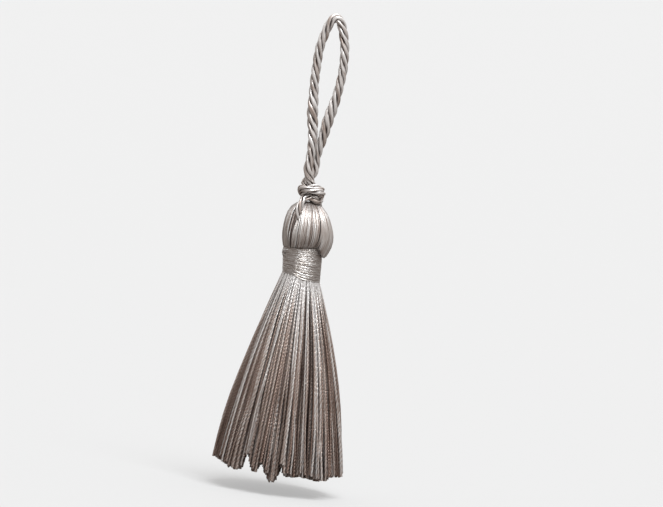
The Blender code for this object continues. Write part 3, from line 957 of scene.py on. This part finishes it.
# both cords of the knot are pulled from their ends until it is tight
def tightKnot():
    thick, spacing = knot["cordWidth"], knotPull["spacing"]
    middle = evenly(looseKnot(), knotPull["points"])
    sides = np.cross(np.gradient(middle, axis=0), (0.0, 0.0, 1.0))
    sides /= np.linalg.norm(sides, axis=1, keepdims=True)
    sides *= thick
    count = int(runAlong(middle)[-1] / spacing) + 1
    total = 2 * count
    points = np.concatenate([evenly(middle + sides / 2, count), evenly(middle - sides / 2, count)])
    first, second = np.triu_indices(total, 1)
    farAlong = (second - first) * spacing > thick * knotPull["ownWidth"]
    apart = (first // count != second // count) | farAlong
    first, second = first[apart], second[apart]
    ends = np.array([0, count - 1, count, total - 1])
    outwards = np.sign(points[ends, 0]) * knotPull["reach"]
    links = []
    for odd in (0, 1):
        links.append(np.concatenate([np.arange(start + odd, start + count - 1, 2) for start in (0, count)]))
    inner = np.setdiff1d(np.arange(total), ends)
    before = points.copy()
    for step in range(knotPull["steps"]):
        moved = points + (points - before) * knotPull["keptSpeed"]
        before = points
        points = moved
        points[ends] = before[ends]
        points[ends, 0] += outwards
        if step % knotPull["searchEvery"] == 0:
            away = np.linalg.norm(points[second] - points[first], axis=1)
            near = away < thick * knotPull["searchWidth"]
            a, b = first[near], second[near]
        for _ in range(knotPull["sweeps"]):
            for link in links:  # the cord keeps its length
                gap = points[link + 1] - points[link]
                gap *= (1 - spacing / np.linalg.norm(gap, axis=1, keepdims=True)) / 2
                points[link] += gap
                points[link + 1] -= gap
            straight = (points[inner - 1] + points[inner + 1]) / 2
            points[inner] += (straight - points[inner]) * knotPull["stiffness"]
            gap = points[count:] - points[:count]  # the two cords stay side by side
            share = knotPull["sideBySide"]
            gap *= (1 - thick / np.linalg.norm(gap, axis=1, keepdims=True)) * share
            points[:count] += gap
            points[count:] -= gap
            gap = points[b] - points[a]  # and never pass through each other
            size = np.linalg.norm(gap, axis=1)
            hit = size < thick
            push = gap[hit] * ((thick / size[hit] - 1) * knotPull["push"])[:, None]
            push = np.clip(push, -knotPull["mostPush"], knotPull["mostPush"])
            pushed = np.zeros_like(points)
            for k in range(3):
                forth = np.bincount(b[hit], push[:, k], total)
                pushed[:, k] = forth - np.bincount(a[hit], push[:, k], total)
            met = np.bincount(b[hit], minlength=total) + np.bincount(a[hit], minlength=total)
            points += pushed / np.maximum(met, 1)[:, None] * knotPull["pushGain"]
    return points[:count], points[count:]


# the knot's two cords, upright and in place, each from the top down
def knotCords():
    cords = tightKnot()
    middle = np.concatenate([line[np.abs(line[:, 0]) < knot["core"]] for line in cords]).mean(axis=0)
    turned, rolled = math.radians(knot["turned"]), math.radians(knot["rolled"])
    cos, sin = math.cos(turned), math.sin(turned)
    rollCos, rollSin = math.cos(rolled), math.sin(rolled)
    ways = np.array([[rollCos, 0.0, -rollSin], [0.0, 1.0, 0.0], [rollSin, 0.0, rollCos]])
    x, y, drop = knot["centre"]
    placed = []
    for line, footCut in zip(cords, knot["footCuts"]):
        line = line - middle
        across = line[:, 1] * cos - line[:, 2] * sin
        towards = line[:, 1] * sin + line[:, 2] * cos
        upright = np.stack([across, -towards, line[:, 0]], axis=-1)
        if upright[0, 2] < upright[-1, 2]:
            upright = upright[::-1]
        upright = upright @ ways.T * knot["scale"]
        # Known fault: this goes by height alone, so low points in the middle of a cord are lost as well
        # as its end. The front cord isn't knotted any more, and the cord runs through itself.
        keep = (upright[:, 2] < knot["topCut"]) & (upright[:, 2] > -footCut)
        placed.append(upright[keep] + (x, y, -drop))
    return placed


# one cord: up from the bight through the knot, round the loop, and down again
def wholeCord():
    left, right = knotCords()
    legs = []
    for side, start in ((1, 0), (-1, 1)):  # the back leg starts a little lower
        leg = []
        for out, drop in bightRoute[start:]:
            x, y = around(bight["angle"], out * side)
            leg.append((bight["x"] + x, y, -drop))
        legs.append(leg)
    front, back = legs
    foot = (bight["x"], 0.0, -bight["foot"])
    loop = [(x, y, -drop) for x, y, drop in loopRoute]
    return [foot, *front[::-1], *left[::-1], *loop, *right, *back, foot]


# the middle lines of the strands that are twisted round the cord's route
def strandRuns(route, widths):
    ways = np.gradient(route, axis=0)
    ways /= np.linalg.norm(ways, axis=1, keepdims=True)
    side = np.cross(ways[0], (0.0, 1.0, 0.0))
    sides = []
    for way in ways:  # the side is carried along the route without turning about it
        side = side - way * np.dot(side, way)
        side /= np.linalg.norm(side)
        sides.append(side)
    sides = np.array(sides)
    others = np.cross(ways, sides)
    run = runAlong(route)
    out = (cord["diameter"] - cord["strandWidth"]) / 2 * widths
    runs = []
    for number in range(cord["strands"]):
        turned = 2 * math.pi * (-run / cord["lay"] + number / cord["strands"])
        points = route + sides * (np.cos(turned) * out)[:, None]
        points = points + others * (np.sin(turned) * out)[:, None]
        runs.append((points, widths))
    return runs


# painted shade: the cord is darker the nearer its middle, in the valleys between its strands
def shadeValleys(piece, route, widths):
    tree = KDTree(len(route))
    for i, point in enumerate(route):
        tree.insert(point * mm, i)
    tree.balance()
    paintedShades = []
    for vertex in piece.data.vertices:
        _, i, distance = tree.find(vertex.co)
        share = distance / (cord["diameter"] / 2 * mm * widths[i])
        paintedShades.append(cord["valleyPaintedShade"] * (1 - eased((share - cord["valley"]) / cord["valleyEdge"])))
    piece.data.attributes["depth"].data.foreach_set("value", np.array(paintedShades, np.float32))


def makeCord(material):
    route = smoothRoute(wholeCord(), cord["stepLength"])
    height = route[:, 2] + knot["centre"][2]
    free = eased((height - cord["freeFrom"]) / cord["freeWithin"])
    looser = cord["looser"] * bump(-route[:, 2], cord["looseDrop"], cord["looseLength"])
    widths = mixed(knot["squeeze"], 1.0, free) + looser
    section = strandSection()
    runs = strandRuns(route, widths)
    piece = strandMesh("loopCord", runs, section, cord["strandLay"], cord["strandTones"], material)
    bpy.data.objects.remove(section, do_unlink=True)
    shadeValleys(piece, route, widths)
    finishPiece(piece, "cord_silk", "cord_loop")


# floor, light and camera
view = {
    "aimX": 7.45,
    "aimDrop": 64.7,
    "frameWidth": 187.4,
    "distance": 1500.0,
    "elevation": 3.6,
    "roll": 7.7,
    "floorSize": 120.0,  # in metres, as the clip distances are
    "floorDrop": 133.5,
    "floorColour": (0.2, 0.2, 0.2),
    "floorRoughness": 0.9,
    "floorGlow": 0.42,
    "clip": (0.05, 200.0),
}
light = {
    "height": 0.4,  # in metres
    "strength": 5.1,
    "spread": 38.0,
    "elevation": 63.0,
    "toRight": 21.0,
    "colour": (0.96, 0.985, 1.0),
    "behind": 1.3,
    "behindSpread": 120.0,
    "bounce": 0.5,
    "bounceElevation": -35.0,
    "fill": 0.26,
    "fillColour": (1.0, 0.86, 0.77),
}


def makeFloor():
    bpy.ops.object.select_all(action="DESELECT")
    bpy.ops.mesh.primitive_plane_add(size=view["floorSize"], location=(0, 0, -view["floorDrop"] * mm))
    floor = bpy.context.object
    floor.name = "floor"
    floor.visible_diffuse = False
    floor.visible_glossy = False
    floor.visible_shadow = False  # so that the bounced light comes through it
    paint = Paint("paleFloor")
    paint.set(Base_Color=view["floorColour"], Roughness=view["floorRoughness"])
    paint.set(Emission_Color=(1, 1, 1), Emission_Strength=view["floorGlow"])
    floor.data.materials.append(paint.material)


def makeSun(name, strength, spread, elevation, toRight):
    data = bpy.data.lights.new(name, "SUN")
    data.energy = strength
    data.color = light["colour"]
    data.angle = math.radians(spread)
    lamp = bpy.data.objects.new(name, data)
    lamp.location = (0, 0, light["height"])
    rise, right = math.radians(elevation), math.radians(toRight)
    way = Vector((math.cos(rise) * math.sin(right), -math.cos(rise) * math.cos(right), math.sin(rise)))
    lamp.rotation_euler = way.to_track_quat("Z", "Y").to_euler()
    bpy.context.scene.collection.objects.link(lamp)


def makeWorld():
    world = bpy.data.worlds.new("paleRoom")
    world.use_nodes = True
    background = world.node_tree.nodes["Background"]
    background.inputs["Color"].default_value = (*light["fillColour"], 1)
    background.inputs["Strength"].default_value = light["fill"]
    bpy.context.scene.world = world


def makeCamera():
    data = bpy.data.cameras.new("camera")
    data.sensor_width = 36.0
    data.lens = data.sensor_width * view["distance"] / view["frameWidth"]
    data.clip_start, data.clip_end = view["clip"]
    camera = bpy.data.objects.new("camera", data)
    rise = math.radians(view["elevation"])
    back = Vector((0, -math.cos(rise), math.sin(rise)))
    aim = Vector((view["aimX"], 0, -view["aimDrop"])) * mm
    camera.location = aim + back * view["distance"] * mm
    roll = Matrix.Rotation(math.radians(view["roll"]), 4, back)
    camera.rotation_euler = (roll @ back.to_track_quat("Z", "Y").to_matrix().to_4x4()).to_euler()
    bpy.context.scene.collection.objects.link(camera)
    bpy.context.scene.camera = camera


makeSkirt(silk("skirtSilk", silkLook))
makeHead(silk("headSilk", headLook))
makeBinding(silk("bindingSilk", bindingLook))
makeCord(silk("cordSilk", cordLook))
makeFloor()
makeWorld()
makeSun("softOverhead", light["strength"], light["spread"], light["elevation"], light["toRight"])
makeSun("softBehind", light["behind"], light["behindSpread"], light["elevation"], light["toRight"] + 180)
makeSun("softBounce", light["bounce"], light["behindSpread"], light["bounceElevation"], light["toRight"])
makeCamera()
bpy.context.scene.view_settings.view_transform = "Standard"
print("floor, lights and camera are in place")
